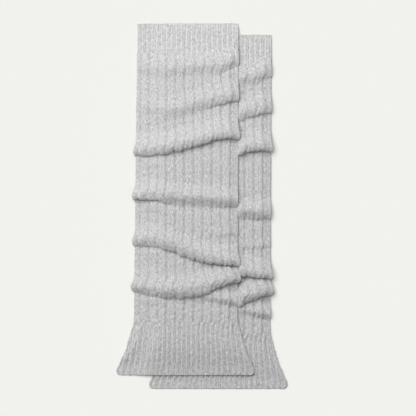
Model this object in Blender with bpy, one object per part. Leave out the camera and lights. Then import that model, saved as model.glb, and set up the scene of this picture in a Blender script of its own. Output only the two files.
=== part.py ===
"""A pair of rib-knit leg warmers laid flat, the front one over the back one.

Metres, +Z up. Both lie on the plane z = 0 with their knee ends towards +Y. Each is a flattened
tube of thick cloth in three knitted lengths: a knee cuff, the leg and a flared ankle cuff. The
leg is rucked: each fold is a crease with a puffy roll on its knee side, and both layers rise in it.
"""

import math
from collections import namedtuple

import bmesh
import bpy

MM = 0.001

# Lengths along one leg warmer, measured from its hem.
LENGTH = 478 * MM
ANKLE_CUFF = 71.5 * MM
KNEE_CUFF = 41 * MM
SEAM_GAP = 0.3 * MM

# Widths, from the middle line of the leg to its two side edges, at the ankle and at the knee end.
LEFT_HALF = (71.5 * MM, 66.5 * MM)
RIGHT_HALF = (70.0 * MM, 71.8 * MM)
FLARE_LEFT = 26.5 * MM
FLARE_RIGHT = 27.0 * MM
FLARE_START = 82 * MM
FLARE_SHAPE = 1.5
HEM_CORNER = 7 * MM
KNEE_CORNER = 3 * MM

# The cloth: two layers with a thin hollow between them.
WALL = 3.0 * MM
HOLLOW = 1.0 * MM
THICK = 2 * WALL + HOLLOW

# Under a roll the lower layer stays down until the roll is this high, then rises with it.
FREE_RISE = 1.8 * MM
ARCH_SHARE = 0.9

# How the pair lies: the back one is shifted from the front one, which rests on it, and laid out a
# little longer.
SHIFT_X = 44.5 * MM
SHIFT_Y = -18.4 * MM
BACK_STRETCH = 1.007
REST_GAP = 0.4 * MM
DRAPE = 30 * MM
DRAPE_AHEAD = 3 * MM
DROOP = 3.0 * MM
DROOP_START = 1.0 * MM
DROOP_RUN = 17 * MM
PRESSED_TO = 70 * MM
PRESS_FADE = 12 * MM

# One row for each fold of the leg, in millimetres. The crease runs through seven heights above the
# hem, evenly spaced from the left side edge to the right one. The roll on its knee side stands so
# high at the left, the middle and the right, and pushes the left and right side edges out so far.
Fold = namedtuple("Fold", "name crease high out")
FOLDS = (
    Fold("ankle_roll", (113, 101, 98, 98, 106, 119, 124), (8.0, 9.5, 8.5), (4.0, 2.5)),
    Fold("shin_roll", (174, 173, 166, 159, 152, 148, 147), (7.5, 8.5, 9.5), (3.5, 2.0)),
    Fold("middle_roll", (237, 238, 234, 231, 231, 231, 231), (8.0, 6.5, 5.5), (5.0, 0.5)),
    Fold("calf_roll", (298, 298, 301, 306, 313, 320, 318), (8.5, 9.0, 9.0), (3.0, 2.5)),
    Fold("upper_roll", (357, 352, 350, 355, 363, 368, 373), (2.0, 3.5, 6.5), (0.5, 1.5)),
    Fold("knee_roll", (412, 409, 407, 410, 413, 416, 427), (1.5, 2.5, 5.0), (0.0, 1.5)),
)
# Lesser folds at the right side only, read the same way.
TUCKS = (
    Fold("ankle_tuck", (101, 101, 101, 101, 101, 98, 93), (0.0, 0.5, 5.0), (0.0, 1.0)),
    Fold("shin_dimple", (187, 187, 187, 187, 187, 187, 189), (0.0, 0.0, 1.5), (0.0, 0.0)),
)
# A roll drops to its crease within the drop, stays level for the crown and fades over the tail.
ROLL_DROP = 9 * MM
ROLL_CROWN = 4 * MM
ROLL_TAIL = 22 * MM

# Where rings of points lie: above or below each crease, at shares of the plain stretches between
# creases, at shares of the stretch with the ankle tuck, and in the two cuffs.
RING_STEPS = tuple(step * MM for step in (-8.0, -1.5, 3.0, 7.0, 12.0, 20.0))
PLAIN_SHARES = (0.5,)
TUCK_SHARES = (0.25, 0.5, 0.68, 0.86)
LAST_RING = 1.5 * MM
ANKLE_RINGS = (0.0, 1.0 * MM, 3.2 * MM, HEM_CORNER, 20 * MM, 36 * MM, 52 * MM, ANKLE_CUFF - SEAM_GAP / 2)
KNEE_RINGS = (
    LENGTH - KNEE_CUFF + SEAM_GAP / 2,
    LENGTH * BACK_STRETCH + SHIFT_Y + DROOP_START,
    LENGTH - KNEE_CORNER,
    LENGTH,
)

# Points round one ring: three turns round each side edge, and steps across the flat stretches.
ROUND_EDGE = (55, 0, -55)
DRAPE_STEPS = 3
BACK_STEPS = 2
RIGHT_STEPS = 4

YARN = (0.62, 0.62, 0.61, 1.0)
YARN_ROUGHNESS = 0.95


def smooth(value):
    """An even step from 0 to 1."""
    value = min(1.0, max(0.0, value))
    return value * value * (3 - 2 * value)


def through(points, place):
    """A smooth curve through evenly spaced values; place runs from 0 to 1."""
    spans = len(points) - 1
    at = min(spans - 1e-9, max(0.0, place * spans))
    index = int(at)
    part = at - index
    before = points[max(0, index - 1)]
    start = points[index]
    end = points[index + 1]
    after = points[min(spans, index + 2)]
    pull_in = (end - before) / 2
    pull_out = (after - start) / 2
    bend = 3 * (end - start) - 2 * pull_in - pull_out
    twist = 2 * (start - end) + pull_in + pull_out
    return start + part * (pull_in + part * (bend + part * twist))


def crease(fold, side):
    """Height of a crease above the hem; side runs from -1 at the left edge to 1 at the right."""
    return through(fold.crease, (side + 1) / 2) * MM


def roll_shape(rise):
    """Share of a roll's height at a distance above its crease."""
    if rise < ROLL_DROP:
        return smooth(rise / ROLL_DROP)
    return 1 - smooth((rise - ROLL_DROP - ROLL_CROWN) / ROLL_TAIL)


def roll_height(side, y):
    """How far the rolls lift the top layer."""
    total = 0.0
    for fold in FOLDS + TUCKS:
        share = roll_shape(y - crease(fold, side))
        total += max(0.0, through(fold.high, (side + 1) / 2)) * MM * share
    return total


def corner_inset(from_end, radius):
    """How far a rounded corner draws the side edge in, near an open end."""
    if from_end >= radius:
        return 0.0
    return radius - math.sqrt(radius**2 - (radius - from_end) ** 2)


def side_edge(side, y):
    """Distance from the middle line to the left (-1) or right (1) side edge."""
    at_ankle, at_knee = LEFT_HALF if side < 0 else RIGHT_HALF
    flare = FLARE_LEFT if side < 0 else FLARE_RIGHT
    half = at_ankle + (at_knee - at_ankle) * y / LENGTH
    half += flare * max(0.0, 1 - y / FLARE_START) ** FLARE_SHAPE
    for fold in FOLDS + TUCKS:
        out = fold.out[0] if side < 0 else fold.out[1]
        half += out * MM * roll_shape(y - crease(fold, side))
    half -= corner_inset(y, HEM_CORNER)
    half -= corner_inset(LENGTH - y, KNEE_CORNER)
    return half


def drape_foot(y):
    """Where the front leg warmer leaves the table to climb onto the back one."""
    back_y = min(LENGTH - KNEE_CORNER, max(HEM_CORNER, (y - SHIFT_Y) / BACK_STRETCH))
    return SHIFT_X - side_edge(-1, back_y) - DRAPE_AHEAD - DRAPE


def support(x, y):
    """Height of what the front leg warmer lies on: the table, then the back leg warmer."""
    climb = smooth((x - drape_foot(y)) / DRAPE)
    past_end = smooth((y - SHIFT_Y - LENGTH * BACK_STRETCH - DROOP_START) / DROOP_RUN)
    return climb * (THICK + REST_GAP - DROOP * past_end)


def places_across(front, left, right, y):
    """Where points stand across one layer, from the left side edge to the right one."""
    if front:
        start = drape_foot(y)
        end = start + DRAPE
        steps = DRAPE_STEPS
    else:
        start = left
        end = PRESSED_TO - SHIFT_X
        steps = BACK_STEPS
    places = [left] if front else []
    places += [start + (end - start) * step / steps for step in range(steps)]
    places += [end + (right - end) * step / RIGHT_STEPS for step in range(RIGHT_STEPS + 1)]
    return places


def section(front, y_at):
    """Outer and inner points of one ring; y_at gives its height above the hem across the leg."""
    left = side_edge(-1, y_at(-1))
    right = side_edge(1, y_at(1))
    radius = THICK / 2

    def layers(x):
        """Underside and top of the flattened tube at x."""
        side = x / (right if x > 0 else left)
        y = y_at(side)
        lift = roll_height(side, y)
        if not front:
            lift *= smooth((x + SHIFT_X - PRESSED_TO) / PRESS_FADE)
        base = support(x, y) if front else 0.0
        under = base + ARCH_SHARE * max(0.0, lift - FREE_RISE)
        return y, under, base + THICK + lift

    outer = []
    inner = []

    def across(places, top):
        for x in places:
            y, under, over = layers(x)
            outer.append((x, y, over if top else under))
            inner.append((x, y, over - WALL if top else under + WALL))

    def round_edge(x, turns, direction):
        y, under, over = layers(x)
        middle = (under + over) / 2
        half = (over - under) / 2
        for turn in turns:
            flat = math.cos(math.radians(turn)) * direction
            up = math.sin(math.radians(turn))
            outer.append((x + radius * flat, y, middle + half * up))
            inner.append((x + (radius - WALL) * flat, y, middle + (half - WALL) * up))

    places = places_across(front, radius - left, right - radius, y_at(0))
    across(places, True)
    round_edge(right - radius, ROUND_EDGE, 1)
    across(places[::-1], False)
    round_edge(radius - left, ROUND_EDGE[::-1], -1)
    return outer, inner


def level(y):
    """A straight ring, at one height above the hem."""
    return lambda side: y


def beside(fold, step, limit):
    """A ring that keeps a step above a crease, as far as the limit."""
    return lambda side: min(crease(fold, side) + step, limit)


def between(low, high, share):
    """A ring at a share of the way from one ring to another."""
    return lambda side: low(side) + (high(side) - low(side)) * share


def leg_rings():
    """Rings of the leg, which follow its creases from the ankle seam to the knee seam."""
    start = ANKLE_CUFF + SEAM_GAP / 2
    end = LENGTH - KNEE_CUFF - SEAM_GAP / 2
    rings = [level(start)]
    for number, fold in enumerate(FOLDS):
        beside_fold = [beside(fold, step, end - LAST_RING) for step in RING_STEPS]
        low = rings[-1]
        for share in (PLAIN_SHARES if number > 0 else TUCK_SHARES):
            rings.append(between(low, beside_fold[0], share))
        rings += beside_fold
    rings[-1] = level(end)
    return rings


def make_tube(name, front, rings, cloth):
    """Skins a knitted length: outer and inner walls, closed by a rim at each open end."""
    shift_x = 0.0 if front else SHIFT_X
    shift_y = 0.0 if front else SHIFT_Y
    stretch = 1.0 if front else BACK_STRETCH
    middle_x = (side_edge(1, HEM_CORNER) + SHIFT_X - side_edge(-1, HEM_CORNER)) / 2
    middle_y = (LENGTH + SHIFT_Y) / 2
    mesh = bmesh.new()
    walls = []
    for y_at in rings:
        pair = []
        for points in section(front, y_at):
            placed = [(x + shift_x, y * stretch + shift_y, z) for x, y, z in points]
            pair.append([mesh.verts.new((x - middle_x, y - middle_y, z)) for x, y, z in placed])
        walls.append(pair)
    count = len(walls[0][0])
    for (low_out, low_in), (high_out, high_in) in zip(walls, walls[1:]):
        for here in range(count):
            after = (here + 1) % count
            mesh.faces.new((low_out[here], low_out[after], high_out[after], high_out[here]))
            mesh.faces.new((low_in[here], high_in[here], high_in[after], low_in[after]))
    for outer, inner in (walls[0], tuple(reversed(walls[-1]))):
        for here in range(count):
            after = (here + 1) % count
            mesh.faces.new((outer[here], inner[here], inner[after], outer[after]))
    bmesh.ops.triangulate(mesh, faces=mesh.faces[:])
    data = bpy.data.meshes.new(name)
    mesh.to_mesh(data)
    mesh.free()
    data.materials.append(cloth)
    piece = bpy.data.objects.new(name, data)
    bpy.context.scene.collection.objects.link(piece)
    return piece


def make_yarn(name):
    """Pale grey brushed yarn."""
    material = bpy.data.materials.new(name)
    material.use_nodes = True
    surface = material.node_tree.nodes["Principled BSDF"]
    surface.inputs["Base Color"].default_value = YARN
    surface.inputs["Roughness"].default_value = YARN_ROUGHNESS
    return material


def build():
    for item in list(bpy.data.objects):
        bpy.data.objects.remove(item, do_unlink=True)
    lengths = (
        ("knee_cuff", [level(y) for y in KNEE_RINGS]),
        ("leg", leg_rings()),
        ("ankle_cuff", [level(y) for y in ANKLE_RINGS]),
    )
    for place, front in (("front", True), ("back", False)):
        for part, rings in lengths:
            name = f"{place}_{part}"
            make_tube(name, front, rings, make_yarn(f"{name}_yarn"))


build()
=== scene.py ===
"""The looks of a pair of rib-knit leg warmers, laid flat with the front one half over the back one."""

from collections import namedtuple

import bpy
import numpy as np
from mathutils import Matrix, Vector


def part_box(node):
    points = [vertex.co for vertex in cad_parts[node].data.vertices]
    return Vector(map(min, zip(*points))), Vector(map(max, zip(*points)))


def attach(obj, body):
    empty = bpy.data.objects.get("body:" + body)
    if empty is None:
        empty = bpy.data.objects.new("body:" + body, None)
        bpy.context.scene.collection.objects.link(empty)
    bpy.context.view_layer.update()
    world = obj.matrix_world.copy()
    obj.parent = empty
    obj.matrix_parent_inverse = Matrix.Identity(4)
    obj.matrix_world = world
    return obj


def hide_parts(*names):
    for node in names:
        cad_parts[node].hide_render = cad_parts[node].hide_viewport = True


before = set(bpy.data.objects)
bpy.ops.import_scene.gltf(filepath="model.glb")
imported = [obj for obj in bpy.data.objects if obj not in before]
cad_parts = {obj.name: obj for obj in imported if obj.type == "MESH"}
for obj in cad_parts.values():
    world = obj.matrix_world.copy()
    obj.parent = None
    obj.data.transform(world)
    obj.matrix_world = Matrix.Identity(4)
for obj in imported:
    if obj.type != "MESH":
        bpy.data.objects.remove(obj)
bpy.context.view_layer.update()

MM = 0.001

# ---- sizes read from the frame ----
ankle_low, ankle_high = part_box("front_ankle_cuff")
leg_low, leg_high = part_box("front_leg")
knee_low, knee_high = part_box("front_knee_cuff")
back_low, back_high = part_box("back_ankle_cuff")
back_knee_low, back_knee_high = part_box("back_knee_cuff")

LENGTH = knee_high.y - ankle_low.y
ANKLE_SEAM = (ankle_high.y + leg_low.y) / 2 - ankle_low.y
KNEE_SEAM = (leg_high.y + knee_low.y) / 2 - ankle_low.y
THICK = back_high.z - back_low.z
SHIFT_X = back_low.x - ankle_low.x
SHIFT_Y = back_low.y - ankle_low.y
BACK_STRETCH = (back_knee_high.y - back_low.y) / LENGTH

# ---- sizes of the cloth and its cut ----
LEFT_HALF = (71.5 * MM, 66.5 * MM)
RIGHT_HALF = (70.0 * MM, 71.8 * MM)
FLARE_LEFT = 26.5 * MM
FLARE_RIGHT = 27.0 * MM
FLARE_START = 82 * MM
FLARE_SHAPE = 1.5
HEM_CORNER = 9 * MM
KNEE_CORNER = 1.5 * MM
EDGE_SINK = 4.2 * MM
EDGE_REACH = 12 * MM
EDGE_CALM = 0.3
EDGE_RADIUS = (THICK - EDGE_SINK) / 2
END_SINK = 5.6 * MM
END_REACH = 52 * MM
LIP_WALL = 1.0 * MM
LOWER_LIP_OUT = 0.2 * MM

# ---- how the pair lies ----
REST_GAP = 0.4 * MM
DRAPE = 30 * MM
DRAPE_AHEAD = 3 * MM
DROOP = 3.0 * MM
DROOP_START = 1.0 * MM
DROOP_RUN = 17 * MM
PRESSED_TO = 65 * MM
PRESS_FADE = 10 * MM
FREE_RISE = 1.8 * MM
ARCH_SHARE = 0.9

# ---- the knit ----
STITCH = 1.72 * MM
COURSE = 1.35 * MM
# A rib's repeat, the flat floor of its furrow and the slope beside it are counted in stitches.
Rib = namedtuple("Rib", "repeat flat slope depth start")
WIDE_RIB = Rib(repeat=7, flat=0.2, slope=1.6, depth=1.45 * MM, start=-1.4 * MM)
HALF_RIB = Rib(repeat=7, flat=0.1, slope=1.0, depth=0.2 * MM, start=4.6 * MM)
FINE_RIB = Rib(repeat=4, flat=0.25, slope=0.9, depth=1.35 * MM, start=-0.8 * MM)
RIB_CROWN = 0.2 * MM
RIB_CHANGE = 4 * MM
# How wide a stitch lies in the ankle cuff, the leg and the knee cuff, as a share of STITCH.
GAUGE = (0.93, 1.03, 1.0)
GAUGE_CHANGE = 16 * MM
FAN = 0.5

# ---- how worn and uneven the ribs are ----
RIB_AT_HEM = 1.25
RIB_AT_KNEE = 0.85
RIB_LOST = 0.5
RIB_LEAST = 0.15
RIB_MOST = 1.5
WEAR_SPREAD = 0.22
WEAR_EVENED = 14
LUMP_AT_HEM = 0.26 * MM
LUMP_AT_KNEE = 0.12 * MM
LUMP_EVENED = 1
HEM_RIB = 0.45
HEM_CALM = 6 * MM
LIP_RIB = (0.8, 0.3)

# ---- the linked side seam ----
SEAM_GROOVE = 1.0 * MM
SEAM_RIDGE = 1.0 * MM
GROOVE_IN = 5.8 * MM
RIDGE_IN = 3.0 * MM
SEAM_WIDTH = 1.4 * MM
SEAM_PLAIN = 6 * MM
SEAM_FADE = 3 * MM
SEAM_RIB_LOST = 0.8
SEAM_FAINT = 0.3

# ---- folds ----
# One row for each fold, in millimetres. The crease runs through seven heights above the hem,
# evenly spaced from the left side edge to the right one. For the left, the middle and the right,
# high is how far the roll above the crease stands up, drop how wide its steep face is, and tuck
# how far its crown leans out over the crease. Tail is the roll's gentle side, out how far it
# pushes the left and right side edges out, and lean how far it carries the ribs sideways.
Fold = namedtuple("Fold", "name crease high drop tuck tail out lean")
FOLDS = (
    Fold("ankle_roll", (113, 108, 105, 105, 109, 120, 126), (7.5, 11, 9.5), (13, 16, 13), (1.6, 1.8, 3), 20,
         (5, 4.5), (0, 0, 5)),
    Fold("ankle_tuck", (100, 100, 100, 100, 100, 97, 93), (0, 1.2, 6), (9, 9, 9), (0, 0, 1.5), 13,
         (0, 0.5), (0, 0, 1)),
    Fold("ankle_line", (134, 133, 133, 133, 133, 133, 133), (1.6, 0, 0), (6, 6, 6), (0, 0, 0), 10,
         (0, 0), (0, 0, 0)),
    Fold("shin_roll", (175, 175, 169, 160, 153, 151, 150), (7, 9.5, 11), (14, 16, 11), (2, 2.4, 5.5), 18,
         (4, 3.5), (0, 0, -1)),
    Fold("shin_dimple", (187, 187, 187, 187, 187, 187, 189), (0, 0, 1.8), (6, 6, 6), (0, 0, 1), 10,
         (0, 0), (0, 0, 2)),
    Fold("middle_roll", (238, 238, 232, 227, 227, 228, 228), (9.5, 7.5, 8.5), (12, 17, 13), (4.2, 0.2, 2), 17,
         (5, 0.5), (0, 0, 0)),
    Fold("calf_roll", (298, 298, 301, 306, 313, 321, 320), (8.5, 10.5, 10.5), (14, 14, 12), (2.4, 2.8, 4.8),
         20, (4, 2.5), (0, 0, 1)),
    Fold("upper_roll", (354, 348, 345, 350, 359, 367, 372), (2, 4.5, 7), (16, 17, 12), (0, 0.6, 3), 20,
         (0.5, 1), (0, 1, 4)),
    Fold("knee_roll", (406, 404, 402, 404, 407, 410, 420), (2.2, 3.4, 5), (15, 16, 13), (0, 0, 1.6), 20,
         (0, 1), (0, 1, 4)),
)
CREASE_DIP = 0.9 * MM
CREASE_BELOW = 1 * MM
DIP_REACH = 9 * MM
STRONG_ROLL = 6 * MM
FULL_TUCK = 3 * MM
# How unevenly the creases run, the same on both leg warmers.
WAVER = 0.6 * MM
WAVES = 30
WAVERING = np.random.default_rng(5).standard_normal(WAVES)
# How the side edges bulge beside a roll; the fall is in millimetres, like a fold's tail.
BULGE_CLIMB = 7 * MM
BULGE_FALL = 16
BULGE_ROUND = 0.7

# ---- grid of the fine cloth ----
TOP_COLUMNS = 172
UNDER_COLUMNS = 70
EDGE_COLUMNS = 9
ROW = 1.32 * MM
LIP_ROWS = 6
LINING_ROWS = 5
LINING_STEP = 2
LINING_DEPTH = LINING_ROWS * LINING_STEP * ROW
FINE_STEP = 0.35 * MM

UV_JUMP = 6
SEEDS = {"front": 11, "back": 12}

# ---- nap ----
NAP_FIBRES = 52000
NAP_LENGTH = (1.2 * MM, 3.4 * MM)
NAP_WIDTH = 0.055 * MM
NAP_TAPER = 0.8
NAP_STAND = (0.05, 0.7)
NAP_BEND = (0.1, 0.6)
NAP_ROOT = 0.15 * MM
NAP_UNDER = 0.8

# ---- finishes ----
TURN = 6.2832
# Painted shade in the knit's colour: how many furrow lines a rib repeat darkens (lines), how much darker they
# are made (dark), and how much the whole tone is lifted evenly to make up for it (lighter). FURROW_FLOOR and
# FURROW_HALF give, in stitches, where in a furrow the painted shade is full and how far out it reaches.
PaintedFurrowShade = namedtuple("PaintedFurrowShade", "lines dark lighter")
WIDE_SHADE = PaintedFurrowShade(lines=1, dark=0.18, lighter=0.04)
FINE_SHADE = PaintedFurrowShade(lines=2, dark=0.22, lighter=0.12)
FURROW_FLOOR = 0.1
FURROW_HALF = 1.5
DARK_YARN = (0.26, 0.26, 0.26, 1)
LIGHT_YARN = (0.63, 0.63, 0.63, 1)
DARK_NAP = (0.36, 0.36, 0.36, 1)
LIGHT_NAP = (0.62, 0.62, 0.62, 1)
FUZZ_SCALE = 620
FLECK_SCALE = 760
NAP_SCALE = 500
STRAND_STRETCH = (1.0, 0.5, 1.0)
STREAK_STRETCH = (1.5, 0.28, 1.0)
STITCH_SLANT = 1.1
STITCH_SWELL = 0.3
# Shares of stitches, fuzz and strands in the bump, and of flecks, strands and streaks in the tone.
BUMP_MIX = (0.25, 0.5, 0.9)
TONE_MIX = (0.25, 0.35, 0.4)
TONE_SPAN = (0.36, 0.64)
BUMP_HEIGHT = 0.9 * MM
BUMP_STRENGTH = 0.8
TABLE_COLOUR = (0.880, 0.888, 0.847, 1)
KNIT_FINISH = {
    "Roughness": 0.95, "Specular IOR Level": 0.15, "Sheen Weight": 0.8, "Sheen Roughness": 0.6,
}
NAP_FINISH = {"Roughness": 0.9, "Specular IOR Level": 0.15}
TABLE_FINISH = {"Base Color": TABLE_COLOUR, "Roughness": 1.0, "Specular IOR Level": 0.0}

# ---- studio, in metres and watts ----
TABLE_REACH = 3.0
TABLE_TOP = -0.3 * MM
KEY_POWER = 36.5
KEY_PLACE = (-0.42, 0.8, 1.35)
KEY_SIZE = 1.4
ROOM_POWER = 2.62
ROOM_PLACE = (-0.6, 0.75, 1.5)
ROOM_ANGLE = 0.9
SKY = 0.3
CAMERA_PLACE = (0.0082, -0.0026, 3.0)
VIEW_WIDTH = 0.566
SENSOR = 36
FAR = 20


def smooth(value):
    """An even step from 0 to 1."""
    value = np.clip(value, 0.0, 1.0)
    return value * value * (3 - 2 * value)


def through(points, place):
    """A smooth curve through evenly spaced values; place runs from 0 to 1."""
    points = np.asarray(points, float)
    spans = len(points) - 1
    at = np.clip(place * spans, 0.0, spans - 1e-9)
    index = at.astype(int)
    part = at - index
    before = points[np.maximum(0, index - 1)]
    start = points[index]
    end = points[index + 1]
    after = points[np.minimum(spans, index + 2)]
    pull_in = (end - before) / 2
    pull_out = (after - start) / 2
    bend = 3 * (end - start) - 2 * pull_in - pull_out
    twist = 2 * (start - end) + pull_in + pull_out
    return start + part * (pull_in + part * (bend + part * twist))


def across(values, side):
    """A fold's value in metres at a place from -1, the left side edge, to 1, the right one."""
    return through(values, (side + 1) / 2) * MM


def roll_share(rise, drop, tail, puffed):
    """Share of a roll's height above its crease: a soft slope, or a round face where puffed."""
    part = np.clip(rise / drop, 0.0, 1.0)
    slope = smooth(part)
    face = np.sqrt(1 - (1 - part) ** 2)
    fall = 1 - smooth((rise - drop) / (tail * MM))
    return (slope + (face - slope) * puffed) * fall


def plain_half(side, y):
    """Half width of the leg warmer without its folds."""
    at_ankle, at_knee = LEFT_HALF if side < 0 else RIGHT_HALF
    flare = FLARE_LEFT if side < 0 else FLARE_RIGHT
    taper = at_ankle + (at_knee - at_ankle) * y / LENGTH
    return taper + flare * np.maximum(0.0, 1 - y / FLARE_START) ** FLARE_SHAPE


def side_edge(side, y):
    """Distance from the middle line to the left (-1) or right (1) side edge."""
    half = plain_half(side, y)
    for fold in FOLDS:
        out = fold.out[0] if side < 0 else fold.out[1]
        rise = y - across(fold.crease, np.full_like(y, side))
        half = half + out * MM * roll_share(rise, BULGE_CLIMB, BULGE_FALL, BULGE_ROUND)
    for from_end, radius in ((y, HEM_CORNER), (LENGTH - y, KNEE_CORNER)):
        short = np.clip(radius - from_end, 0.0, radius)
        half = half - (radius - np.sqrt(radius**2 - short**2))
    return half


def end_sink(y):
    """How much thinner the two layers lie towards the open ends."""
    return END_SINK * (1 - smooth(np.minimum(y, LENGTH - y) / END_REACH))


def support(x, y):
    """Height of what the front leg warmer lies on: the table, then the back leg warmer."""
    back_y = np.clip((y - SHIFT_Y) / BACK_STRETCH, HEM_CORNER, LENGTH - KNEE_CORNER)
    foot = SHIFT_X - side_edge(-1, back_y) - DRAPE_AHEAD - DRAPE
    past_end = smooth((y - SHIFT_Y - LENGTH * BACK_STRETCH - DROOP_START) / DROOP_RUN)
    return smooth((x - foot) / DRAPE) * (THICK + REST_GAP - DROOP * past_end - end_sink(back_y))


def stations():
    """Places round the flattened tube: share across, how far up (1) or down (-1), how far out."""
    turn = np.linspace(0, np.pi, EDGE_COLUMNS + 2)[1:-1]
    top = np.linspace(0, 1, TOP_COLUMNS)
    under = np.linspace(1, 0, UNDER_COLUMNS)
    share = np.concatenate((top, np.ones(EDGE_COLUMNS), under, np.zeros(EDGE_COLUMNS)))
    up = np.concatenate((np.ones(TOP_COLUMNS), np.cos(turn), -np.ones(UNDER_COLUMNS), -np.cos(turn)))
    out = np.concatenate((np.zeros(TOP_COLUMNS), np.sin(turn), np.zeros(UNDER_COLUMNS), -np.sin(turn)))
    return share, up, out


def folded(side, y):
    """How far the folds lift the cloth, lean it towards the hem, and how full of roll it is."""
    lift = np.zeros(np.broadcast(side, y).shape)
    lean = np.zeros_like(lift)
    full = np.zeros_like(lift)
    for fold in FOLDS:
        rise = y - across(fold.crease, side) + WAVER * through(WAVERING, (side + 1) / 2)
        high = np.maximum(0, across(fold.high, side))
        tuck = np.maximum(0, across(fold.tuck, side))
        puffed = smooth(tuck / FULL_TUCK)
        share = roll_share(rise, across(fold.drop, side), fold.tail, puffed)
        strength = np.clip(high / STRONG_ROLL, 0, 1)
        away = np.abs(rise + CREASE_BELOW) / DIP_REACH
        dip = np.exp(-away) * puffed + np.exp(-(away**2)) * (1 - puffed)
        lift += high * share - CREASE_DIP * strength * dip
        lean += tuck * share
        full += strength * share
    return lift, lean, np.clip(full, 0, 1)


def lay(front, y):
    """The cloth's smooth form: a point for each height y above the hem and each station."""
    share, up, out = stations()
    y = y[:, None]
    left = side_edge(-1, y)
    right = side_edge(1, y)
    flat_x = (EDGE_RADIUS - left) * (1 - share) + (right - EDGE_RADIUS) * share
    side = np.clip(np.where(flat_x > 0, flat_x / right, flat_x / left), -1, 1)
    lift, lean, _ = folded(side, y)
    from_side = np.minimum(flat_x + left, right - flat_x) - EDGE_RADIUS
    near_side = 1 - smooth(from_side / EDGE_REACH)
    lift *= 1 - EDGE_CALM * near_side
    sink = np.maximum(EDGE_SINK * near_side, end_sink(y))
    if front:
        base = support(flat_x, y)
    else:
        base = np.zeros_like(flat_x)
        press = smooth((flat_x + SHIFT_X - PRESSED_TO) / PRESS_FADE)
        lift *= press
        lean *= press
    over = base + THICK - sink + lift
    under = base + ARCH_SHARE * np.maximum(0.0, lift - FREE_RISE)
    middle = (over + under) / 2
    half = (over - under) / 2
    x = flat_x + EDGE_RADIUS * out
    lower = 0.5 - 0.5 * up
    lip_out = LOWER_LIP_OUT * lower * (end_sink(y) / END_SINK) * (y < LENGTH / 2)
    moved_y = y - lean * (1 - lower) - lip_out
    stretch = 1.0 if front else BACK_STRETCH
    return np.stack((x, moved_y * stretch, middle + half * up), axis=2)


def even_rows(points, y, rows):
    """Spaces the rows evenly along the cloth, so that folds hold as much knit as they should."""
    steps = np.linalg.norm(np.diff(points, axis=0), axis=2)
    along = np.vstack((np.zeros(points.shape[1]), np.cumsum(steps, axis=0)))
    spaced = np.empty((rows, points.shape[1], 3))
    heights = np.empty((rows, points.shape[1]))
    for column in range(points.shape[1]):
        wanted = np.linspace(0, along[-1, column], rows)
        for axis in range(3):
            spaced[:, column, axis] = np.interp(wanted, along[:, column], points[:, column, axis])
        heights[:, column] = np.interp(wanted, along[:, column], y)
    return spaced, heights, along[-1].mean()


def normals(points):
    """Outward directions of a grid that closes on itself sideways."""
    sideways = np.roll(points, -1, axis=1) - np.roll(points, 1, axis=1)
    along = np.gradient(points, axis=0)
    facing = np.cross(sideways, along)
    return facing / np.linalg.norm(facing, axis=2, keepdims=True)


def fanned(x, y):
    """Sideways place of a wale before the flare spreads it."""
    right = x > 0
    half = np.where(right, plain_half(1, y), plain_half(-1, y))
    plain = np.where(right, RIGHT_HALF[0], LEFT_HALF[0])
    return x / (1 + FAN * (half / plain - 1) * np.abs(x) / half)


def wales(heights):
    """Sideways place of each point in the knit, measured round the tube from the middle line."""
    share, up, out = stations()
    left = plain_half(-1, heights) - EDGE_RADIUS
    right = plain_half(1, heights) - EDGE_RADIUS
    x = -left * (1 - share) + right * share
    side = np.clip(x / np.where(x > 0, right, left), -1, 1)
    drift = np.zeros_like(x)
    for fold in FOLDS:
        rise = heights - across(fold.crease, side)
        drift += across(fold.lean, side) * roll_share(rise, across(fold.drop, side), fold.tail, 0.0)
    place = fanned(x, heights) - drift
    turned = EDGE_RADIUS * np.arccos(np.clip(up, -1, 1))
    fold_line = fanned(-left, heights)
    below = 2 * fold_line - place - np.pi * EDGE_RADIUS
    on_top = (up > 0.999) | ((out > 0) & (up > 0))
    on_left = out < 0
    place = np.where(on_top, place + np.where(out > 0, turned, 0), below)
    ankle = 1 - smooth((heights - ANKLE_SEAM) / GAUGE_CHANGE + 0.5)
    knee = smooth((heights - KNEE_SEAM) / GAUGE_CHANGE + 0.5)
    gauge = GAUGE[0] * ankle + GAUGE[1] * (1 - ankle - knee) + GAUGE[2] * knee
    return np.where(on_left, fold_line - turned, place) / gauge


def furrow(place, rib):
    """Depth of a rib pattern, from 0 on the crowns to the full depth in the furrows."""
    stitches = (place - rib.start) / STITCH
    away = np.abs((stitches / rib.repeat + 0.5) % 1 - 0.5) * rib.repeat
    crown = RIB_CROWN * (1 - away / (rib.repeat / 2)) ** 2
    return rib.depth * (1 - smooth((away - rib.flat) / rib.slope)) + crown


def soften(field, times):
    """Evens out a random field a little each time."""
    for _ in range(times):
        field = (field + np.roll(field, 1, 1) + np.roll(field, -1, 1)) / 3
        field[1:-1] = (field[:-2] + field[1:-1] + field[2:]) / 3
    return field


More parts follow.
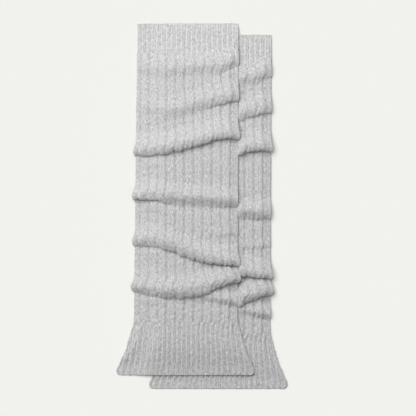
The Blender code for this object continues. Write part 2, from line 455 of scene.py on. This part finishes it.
def knit_relief(place, heights, random):
    """How far each point lies below the crowns of the ribs."""
    wide = smooth((heights - ANKLE_SEAM) / RIB_CHANGE + 0.5)
    wide = wide * smooth((KNEE_SEAM - heights) / RIB_CHANGE + 0.5)
    body = furrow(place, WIDE_RIB) + furrow(place, HALF_RIB)
    relief = wide * body + (1 - wide) * furrow(place, FINE_RIB)
    side = np.clip(place / LEFT_HALF[0], -1, 1)
    worn = soften(random.standard_normal(relief.shape), WEAR_EVENED)
    part = heights / LENGTH
    plain = RIB_AT_HEM + (RIB_AT_KNEE - RIB_AT_HEM) * part
    worn = plain + WEAR_SPREAD * worn / worn.std() - RIB_LOST * folded(side, heights)[2]
    lumps = soften(random.standard_normal(relief.shape), LUMP_EVENED)
    lump = LUMP_AT_HEM + (LUMP_AT_KNEE - LUMP_AT_HEM) * part
    rib_left = np.where(stations()[1] > 0, HEM_RIB, 0.0)
    calm = rib_left + (1 - rib_left) * smooth(np.minimum(heights, LENGTH - heights) / HEM_CALM)
    return (relief * np.clip(worn, RIB_LEAST, RIB_MOST) + lump * lumps / lumps.std()) * calm


def seam_relief(relief, points, heights):
    """Adds the linked side seam: a narrow ridge along the right edge with a groove inside it."""
    _, up, _ = stations()
    from_edge = side_edge(1, heights) - points[:, :, 0]
    top = (up > 0.5).astype(float)
    flared = SEAM_FAINT + (1 - SEAM_FAINT) * (1 - smooth(heights / FLARE_START))
    groove = flared * SEAM_GROOVE * np.exp(-(((from_edge - GROOVE_IN) / SEAM_WIDTH) ** 2))
    ridge = flared * SEAM_RIDGE * np.exp(-(((from_edge - RIDGE_IN) / SEAM_WIDTH) ** 2))
    plain = top * (1 - smooth((from_edge - SEAM_PLAIN) / SEAM_FADE))
    return relief * (1 - SEAM_RIB_LOST * plain) + top * (groove - ridge)


def lip(points, facing, at_hem):
    """Rows that turn round an open end and run back inside as its lining."""
    order = slice(None) if at_hem else slice(None, None, -1)
    points = points[order]
    facing = facing[order]
    edge = points[0]
    outward = edge - points[1]
    outward /= np.linalg.norm(outward, axis=1, keepdims=True)
    centre = edge - facing[0] * LIP_WALL / 2
    rows = []
    for turn in np.linspace(0, np.pi, LIP_ROWS + 2)[1:]:
        rows.append(centre + LIP_WALL / 2 * (facing[0] * np.cos(turn) + outward * np.sin(turn)))
    for row in range(LINING_STEP, LINING_STEP * LINING_ROWS + 1, LINING_STEP):
        rows.append(points[row] - facing[row] * LIP_WALL)
    rows = np.array(rows)
    return rows[::-1] if at_hem else rows


def cloth_mesh(name, points, stitches, courses):
    """A mesh from a grid of points that closes on itself sideways, with its knit laid out as a map."""
    rows, columns = points.shape[:2]
    here = np.arange(rows * columns).reshape(rows, columns)
    after = np.roll(here, -1, axis=1)
    faces = np.stack((here[:-1], after[:-1], after[1:], here[1:]), axis=2).reshape(-1, 4)
    wrap = np.roll(stitches, -1, axis=1)
    knit_u = np.stack((stitches[:-1], wrap[:-1], wrap[1:], stitches[1:]), axis=2).reshape(-1, 4)
    knit_v = np.stack((courses[:-1], courses[:-1], courses[1:], courses[1:]), axis=2).reshape(-1, 4)
    jump = np.abs(knit_u[:, 1] - knit_u[:, 0]) > UV_JUMP
    knit_u[jump, 1] = knit_u[jump, 0] + 1
    knit_u[jump, 2] = knit_u[jump, 3] + 1
    mesh = bpy.data.meshes.new(name)
    mesh.from_pydata(points.reshape(-1, 3).tolist(), [], faces.tolist())
    layer = mesh.uv_layers.new(name="knit")
    layer.data.foreach_set("uv", np.stack((knit_u, knit_v), axis=2).ravel().astype(np.float32))
    mesh.shade_smooth()
    return mesh


def place_piece(name, mesh, material, shift):
    """Adds a mesh as a piece of the object, in its place in the pair."""
    mesh.transform(Matrix.Translation(shift))
    mesh.materials.append(material)
    piece = bpy.data.objects.new(name, mesh)
    bpy.context.scene.collection.objects.link(piece)
    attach(piece, "root")
    return piece


def nap_corners(points, facing, random):
    """Five corners for each loose fibre: a thin blade rooted in the cloth that bends to its tip."""
    rows, columns = points.shape[:2]
    _, up, out = stations()
    under = NAP_UNDER * TOP_COLUMNS / UNDER_COLUMNS / 2
    weight = np.where((up > 0.1) | (out != 0), 1.0, under)
    column = random.choice(columns, NAP_FIBRES, p=weight / weight.sum())
    row = random.integers(0, rows - 1, NAP_FIBRES)
    across_part = random.random((NAP_FIBRES, 1))
    along_part = random.random((NAP_FIBRES, 1))
    beside = (column + 1) % columns
    low = points[row, column] * (1 - across_part) + points[row, beside] * across_part
    high = points[row + 1, column] * (1 - across_part) + points[row + 1, beside] * across_part
    root = low * (1 - along_part) + high * along_part
    normal = facing[row, column]
    spread = random.standard_normal((NAP_FIBRES, 3))
    spread -= normal * np.sum(spread * normal, axis=1, keepdims=True)
    spread /= np.linalg.norm(spread, axis=1, keepdims=True)
    stand = random.uniform(*NAP_STAND, (NAP_FIBRES, 1))
    first = normal * stand + spread
    first /= np.linalg.norm(first, axis=1, keepdims=True)
    second = first - normal * random.uniform(*NAP_BEND, (NAP_FIBRES, 1)) * stand
    length = random.uniform(*NAP_LENGTH, (NAP_FIBRES, 1))
    wide = np.cross(normal, spread) * NAP_WIDTH / 2
    root = root - normal * NAP_ROOT
    middle = root + first * length / 2
    tip = middle + second * length / 2
    narrow = wide * NAP_TAPER
    corners = np.stack((root - wide, root + wide, middle + narrow, middle - narrow, tip), axis=1)
    corners[:, :, 2] = np.maximum(corners[:, :, 2], 0.0)
    return corners


def nap_mesh(name, corners):
    """The loose fibres of the brushed yarn joined in one mesh, a quad and a pointed tip for each."""
    start = np.arange(NAP_FIBRES)[:, None] * 5
    quads = start + np.array((0, 1, 2, 3))
    tips = start + np.array((3, 2, 4))
    loops = np.concatenate((quads, tips), axis=1).ravel()
    starts = (np.arange(NAP_FIBRES)[:, None] * 7 + np.array((0, 4))).ravel()
    mesh = bpy.data.meshes.new(name)
    mesh.vertices.add(NAP_FIBRES * 5)
    mesh.vertices.foreach_set("co", corners.reshape(-1).astype(np.float32))
    mesh.loops.add(len(loops))
    mesh.loops.foreach_set("vertex_index", loops.astype(np.int32))
    mesh.polygons.add(NAP_FIBRES * 2)
    mesh.polygons.foreach_set("loop_start", starts.astype(np.int32))
    mesh.update(calc_edges=True)
    mesh.validate()
    mesh.shade_smooth()
    return mesh


class Wire:
    """A value in a shader, so that sums and nodes can be written as expressions."""

    def __init__(self, tree, socket=None):
        self.tree = tree
        self.socket = socket

    def node(self, kind, settings=None, inputs=None, output=0):
        """Adds a node, sets it up, fills its sockets with values or wires and gives its output."""
        made = self.tree.nodes.new(kind)
        for name, value in (settings or {}).items():
            setattr(made, name, value)
        for key, value in (inputs or {}).items():
            if isinstance(value, Wire):
                self.tree.links.new(value.socket, made.inputs[key])
            else:
                made.inputs[key].default_value = value
        return Wire(self.tree, made.outputs[output])

    def maths(self, operation, *values):
        return self.node("ShaderNodeMath", {"operation": operation}, dict(enumerate(values)))

    def __add__(self, other):
        return self.maths("ADD", self, other)

    __radd__ = __add__

    def __sub__(self, other):
        return self.maths("SUBTRACT", self, other)

    def __rsub__(self, other):
        return self.maths("SUBTRACT", other, self)

    def __mul__(self, other):
        return self.maths("MULTIPLY", self, other)

    __rmul__ = __mul__


def new_material(name, finish):
    """A material with a plain finish: the material, a wire in its shader tree and its surface."""
    material = bpy.data.materials.new(name)
    material.use_nodes = True
    surface = material.node_tree.nodes["Principled BSDF"]
    for socket, value in finish.items():
        surface.inputs[socket].default_value = value
    return material, Wire(material.node_tree), surface


def mixed(wire, share, dark, light):
    """A colour between a dark and a light one."""
    return wire.node("ShaderNodeMix", {"data_type": "RGBA"}, {0: share, 6: dark, 7: light}, output=2)


def painted_furrow_shade(wire, stitch, rib, shade):
    """Painted shade: how much darker the colour is made in the furrows of a rib, where shade gathers, from
    the place counted in stitches.
    """
    apart = rib.repeat / shade.lines
    phase = wire.maths("FRACT", stitch * (1 / apart) + (0.5 - rib.start / STITCH / apart))
    away = wire.maths("ABSOLUTE", phase - 0.5) * apart
    reach = FURROW_HALF / shade.lines
    return wire.node(
        "ShaderNodeMapRange",
        {"interpolation_type": "SMOOTHSTEP"},
        {"Value": away, "From Min": FURROW_FLOOR, "From Max": reach, "To Min": shade.dark, "To Max": 0.0},
    )


def knit_material(name, rib, shade):
    """Brushed melange yarn knitted in ribs: mixed grey fibres over rows of stitches, with painted shade
    darkening the colour in the furrows.
    """
    material, wire, surface = new_material(name, KNIT_FINISH)
    knit = wire.node("ShaderNodeUVMap", {"uv_map": "knit"})
    stitch = wire.node("ShaderNodeSeparateXYZ", inputs={0: knit})
    course = wire.node("ShaderNodeSeparateXYZ", inputs={0: knit}, output=1)
    place = wire.node("ShaderNodeTexCoord", output=3)

    def noise(vector, scale, detail=2.0):
        return wire.node("ShaderNodeTexNoise", inputs={"Vector": vector, "Scale": scale, "Detail": detail})

    def stretched(stretch):
        return wire.node("ShaderNodeVectorMath", {"operation": "MULTIPLY"}, {0: knit, 1: stretch})

    from_middle = wire.maths("ABSOLUTE", wire.maths("FRACT", stitch) - 0.5)
    leg = wire.maths("SINE", from_middle * TURN)
    row = wire.maths("COSINE", (course - from_middle * STITCH_SLANT) * TURN)
    stitches = leg * (row * STITCH_SWELL + (1 - STITCH_SWELL))
    fuzz = noise(place, FUZZ_SCALE, detail=3.0)
    strands = noise(stretched(STRAND_STRETCH), 1.0)
    height = stitches * BUMP_MIX[0] + fuzz * BUMP_MIX[1] + strands * BUMP_MIX[2]
    normal = wire.node(
        "ShaderNodeBump",
        inputs={"Height": height, "Distance": BUMP_HEIGHT, "Strength": BUMP_STRENGTH},
    )
    flecks = noise(place, FLECK_SCALE)
    streaks = noise(stretched(STREAK_STRETCH), 1.0)
    tone = flecks * TONE_MIX[0] + strands * TONE_MIX[1] + streaks * TONE_MIX[2]
    tone = wire.node(
        "ShaderNodeMapRange",
        inputs={"Value": tone, "From Min": TONE_SPAN[0], "From Max": TONE_SPAN[1]},
    )
    # Painted shade: the colour is darkened in the rib furrows, where shade gathers, then lifted evenly.
    tone = tone - painted_furrow_shade(wire, stitch, rib, shade) + shade.lighter
    colour = mixed(wire, tone, DARK_YARN, LIGHT_YARN)
    wire.tree.links.new(colour.socket, surface.inputs["Base Color"])
    wire.tree.links.new(normal.socket, surface.inputs["Normal"])
    return material


def nap_material():
    """The loose fibres on the knit."""
    material, wire, surface = new_material("grey_nap", NAP_FINISH)
    place = wire.node("ShaderNodeTexCoord", output=3)
    tone = wire.node("ShaderNodeTexNoise", inputs={"Vector": place, "Scale": NAP_SCALE, "Detail": 1})
    colour = mixed(wire, tone, DARK_NAP, LIGHT_NAP)
    wire.tree.links.new(colour.socket, surface.inputs["Base Color"])
    return material


def laid_grids(front):
    """The three lengths of one leg warmer, each an even grid: points, heights and cloth length."""
    cuts = (LIP_WALL / 2, ANKLE_SEAM, KNEE_SEAM, LENGTH - LIP_WALL / 2)
    grids = []
    for low, high in zip(cuts, cuts[1:]):
        y = np.linspace(low, high, int((high - low) / FINE_STEP) + 2)
        form = lay(front, y)
        length = np.linalg.norm(np.diff(form[:, TOP_COLUMNS // 2], axis=0), axis=1).sum()
        grids.append(even_rows(form, y, int(length / ROW)))
    return grids


def lipped(points, facing, ribbed, relief):
    """The ribbed cloth with its two open ends turned in, and how many rows each end added."""
    hem = lip(points, facing, True)
    knee = lip(points, facing, False)
    whole = np.concatenate((hem, ribbed, knee))
    fade = np.concatenate((np.linspace(*LIP_RIB, LIP_ROWS + 1), np.zeros(LINING_ROWS)))[:, None]
    ends = np.concatenate((relief[:1] * fade[::-1], np.zeros_like(relief), relief[-1:] * fade))
    whole = whole - normals(whole) * ends[:, :, None]
    whole[:, :, 2] = np.maximum(whole[:, :, 2], 0.0)
    return whole, len(hem), len(knee)


def flat_sizes(cut_lengths):
    """The flat size of each length, all round the tube, with the cloth seen inside its open end."""
    round_leg = 2 * (plain_half(-1, KNEE_SEAM) + plain_half(1, KNEE_SEAM))
    round_hem = round_leg + 2 * (FLARE_LEFT + FLARE_RIGHT)
    turned_in = LINING_DEPTH + LIP_WALL
    ankle, leg, knee = cut_lengths
    return (round_hem, ankle + turned_in), (round_leg, leg), (round_leg, knee + turned_in)


def make_leg_warmer(place, front, leg_knit, cuff_knit, nap):
    """One leg warmer: three knitted lengths cut from one grid, and the nap on them."""
    random = np.random.default_rng(SEEDS[place])
    grids = laid_grids(front)
    points = np.concatenate([grid[0][(1 if part else 0):] for part, grid in enumerate(grids)])
    heights = np.concatenate([grid[1][(1 if part else 0):] for part, grid in enumerate(grids)])
    facing = normals(points)
    wale = wales(heights)
    relief = seam_relief(knit_relief(wale, heights, random), points, heights)
    ribbed = points - facing * relief[:, :, None]
    whole, hem_rows, knee_rows = lipped(points, facing, ribbed, relief)
    stitches = np.concatenate((np.repeat(wale[:1], hem_rows, 0), wale, np.repeat(wale[-1:], knee_rows, 0)))
    stitches = stitches / STITCH
    rows_along = np.arange(len(whole), dtype=float)[:, None] * ROW / COURSE
    courses = np.repeat(rows_along, whole.shape[1], axis=1)
    middle_x = knee_low.x + plain_half(-1, KNEE_SEAM)
    if front:
        shift = (middle_x, ankle_low.y, 0.0)
    else:
        shift = (middle_x + SHIFT_X, ankle_low.y + SHIFT_Y, 0.0)
    fibres = nap_mesh(f"{place}_nap", nap_corners(ribbed, normals(ribbed), random))
    pieces = [place_piece(f"{place}_nap", fibres, nap, shift)]
    ankle_row = hem_rows + len(grids[0][0]) - 1
    knee_row = ankle_row + len(grids[1][0]) - 1
    ankle_flat, leg_flat, knee_flat = flat_sizes([grid[2] for grid in grids])
    parts = (
        ("ankle_cuff", 0, ankle_row, cuff_knit, ankle_flat),
        ("leg", ankle_row, knee_row, leg_knit, leg_flat),
        ("knee_cuff", knee_row, len(whole) - 1, cuff_knit, knee_flat),
    )
    for part, low, high, knit, flat in parts:
        name = f"{place}_{part}"
        rows = slice(low, high + 1)
        mesh = cloth_mesh(f"{name}_knit", whole[rows], stitches[rows], courses[rows])
        piece = place_piece(f"{name}_knit", mesh, knit, shift)
        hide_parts(name)
        pieces.append(piece)
    return pieces


def add_light(name, kind, energy, location, target):
    """A lamp that looks at a point."""
    data = bpy.data.lights.new(name, kind)
    data.energy = energy
    lamp = bpy.data.objects.new(name, data)
    lamp.location = location
    aim = Vector(target) - lamp.location
    lamp.rotation_euler = aim.to_track_quat("-Z", "Y").to_euler()
    bpy.context.scene.collection.objects.link(lamp)
    return lamp


def light_only(lamp, things):
    """Keeps a lamp's light to some things; everything still casts its shadow."""
    lit = bpy.data.collections.new(f"{lamp.name}_lit")
    for thing in things:
        lit.objects.link(thing)
    lamp.light_linking.receiver_collection = lit


def make_table():
    """The pale table that the pair lies on."""
    mesh = bpy.data.meshes.new("table")
    corners = ((-1, -1), (1, -1), (1, 1), (-1, 1))
    mesh.from_pydata([(x * TABLE_REACH, y * TABLE_REACH, TABLE_TOP) for x, y in corners], [], [(0, 1, 2, 3)])
    table = bpy.data.objects.new("table", mesh)
    bpy.context.scene.collection.objects.link(table)
    mesh.materials.append(new_material("pale_table", TABLE_FINISH)[0])
    return table


def make_lights(pieces, table):
    """A broad lamp beyond the knee end for the cloth, and even light for the table."""
    key = add_light("key", "AREA", KEY_POWER, KEY_PLACE, (0, 0, 0))
    key.data.size = KEY_SIZE
    light_only(key, pieces)
    room = add_light("room", "SUN", ROOM_POWER, ROOM_PLACE, (0, 0, 0))
    room.data.angle = ROOM_ANGLE
    light_only(room, [table])
    world = bpy.data.worlds.new("room")
    world.use_nodes = True
    world.node_tree.nodes["Background"].inputs["Color"].default_value = (1, 1, 1, 1)
    world.node_tree.nodes["Background"].inputs["Strength"].default_value = SKY
    bpy.context.scene.world = world
    bpy.context.scene.view_settings.view_transform = "Standard"


def make_camera():
    """A long lens straight above the pair."""
    lens = bpy.data.cameras.new("camera")
    lens.sensor_width = SENSOR
    lens.lens = SENSOR * CAMERA_PLACE[2] / VIEW_WIDTH
    lens.clip_end = FAR
    camera = bpy.data.objects.new("camera", lens)
    camera.location = CAMERA_PLACE
    bpy.context.scene.collection.objects.link(camera)
    bpy.context.scene.camera = camera


leg_knit = knit_material("grey_wide_rib", WIDE_RIB, WIDE_SHADE)
cuff_knit = knit_material("grey_fine_rib", FINE_RIB, FINE_SHADE)
nap = nap_material()
front = make_leg_warmer("front", True, leg_knit, cuff_knit, nap)
back = make_leg_warmer("back", False, leg_knit, cuff_knit, nap)
make_lights(front + back, make_table())
make_camera()
